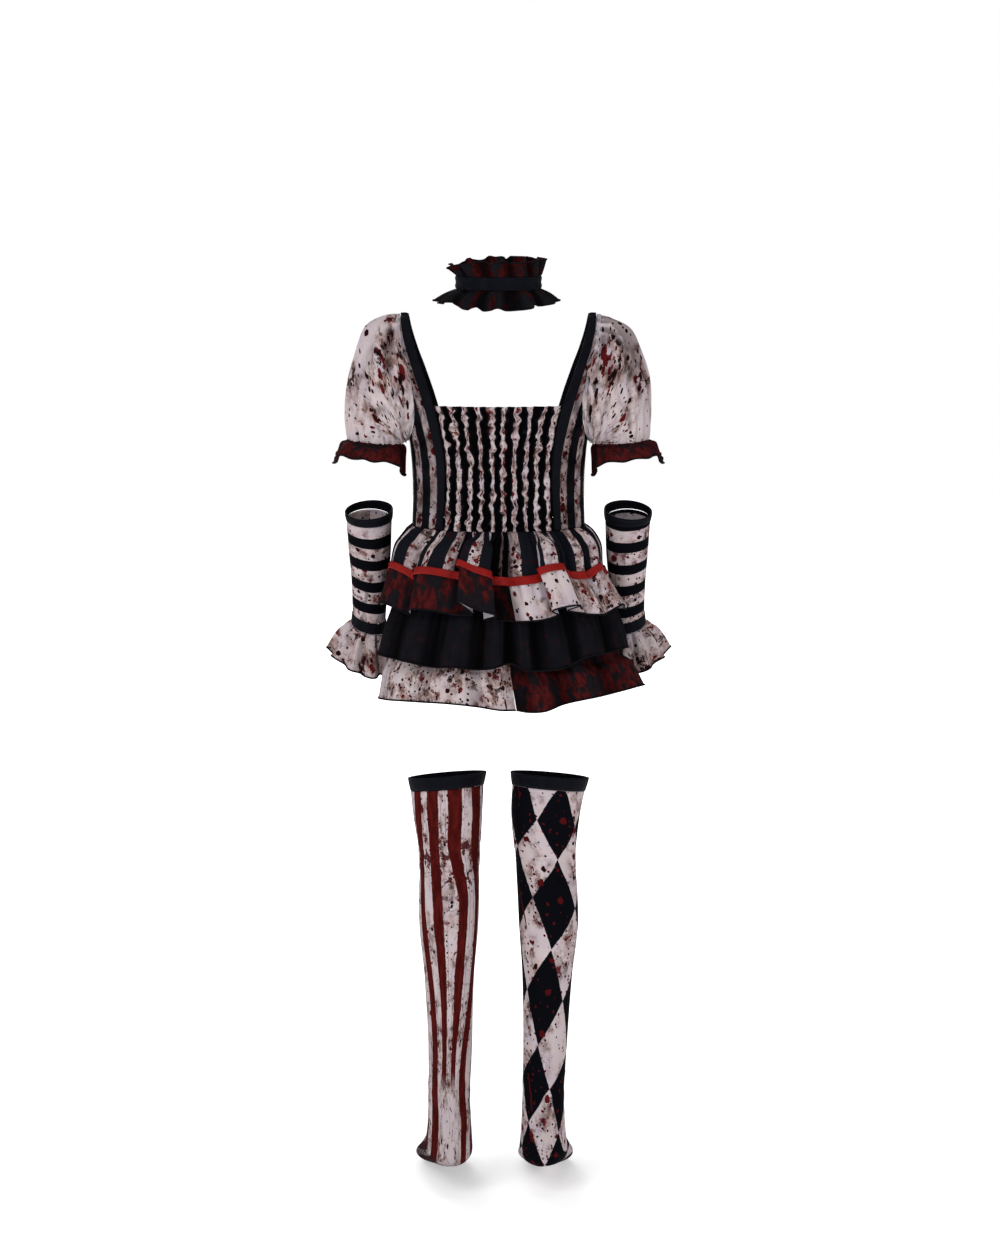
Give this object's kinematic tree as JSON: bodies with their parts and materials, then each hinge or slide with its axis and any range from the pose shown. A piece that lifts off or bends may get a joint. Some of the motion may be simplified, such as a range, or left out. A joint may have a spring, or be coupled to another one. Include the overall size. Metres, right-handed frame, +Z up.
{
  "type": "clown costume",
  "caption": "Hollow worn clown costume: ruffled choker, shirred dress with puffed sleeves and tiered skirt, arm warmers and over-knee stockings.",
  "frame": {"origin": "midway between the two shoulder straps, at the height of their tops, where the wearer's shoulders carry the dress", "axes": "+Z up, -Y the way the wearer faces, so the shirred back faces +Y, and +X the wearer's left"},
  "size_m": [0.422, 0.2857, 1.147],
  "materials": {
    "striped_cotton": "matt cotton, black and off-white stripes with stains",
    "splattered_cotton": "matt cotton, off-white with dark splatter",
    "red_black_cotton": "matt cotton, dark red mottled with black",
    "black_cotton": "matt black cotton and elastic",
    "red_ribbon": "satin ribbon",
    "banded_knit": "stretch knit, black and off-white bands",
    "striped_knit": "stretch knit, dark red stripes on off-white",
    "diamond_knit": "stretch knit, black diamonds on off-white"
  },
  "bodies": {
    "root": {"arm_band_left": "black_cotton", "arm_band_right": "black_cotton", "arm_warmer_left": "banded_knit", "arm_warmer_right": "banded_knit", "back_shirred": "striped_cotton", "choker_band": "black_cotton", "choker_lower_ruffle": "red_black_cotton", "choker_upper_ruffle": "red_black_cotton", "front_neck_binding": "black_cotton", "front_panel": "striped_cotton", "lower_tier_left": "splattered_cotton", "lower_tier_right": "red_black_cotton", "middle_tier": "black_cotton", "peplum": "striped_cotton", "peplum_band_left": "red_black_cotton", "peplum_band_right": "splattered_cotton", "peplum_ribbon": "red_ribbon", "side_back_left": "striped_cotton", "side_back_right": "striped_cotton", "side_front_left": "striped_cotton", "side_front_right": "striped_cotton", "sleeve_left": "splattered_cotton", "sleeve_right": "splattered_cotton", "sleeve_ruffle_left": "red_black_cotton", "sleeve_ruffle_right": "red_black_cotton", "stocking_band_left": "black_cotton", "stocking_band_right": "black_cotton", "stocking_left": "striped_knit", "stocking_right": "diamond_knit", "strap_left": "black_cotton", "strap_right": "black_cotton", "wrist_band_left": "black_cotton", "wrist_band_right": "black_cotton", "wrist_ruffle_left": "splattered_cotton", "wrist_ruffle_right": "splattered_cotton"}
  },
  "joints": []
}
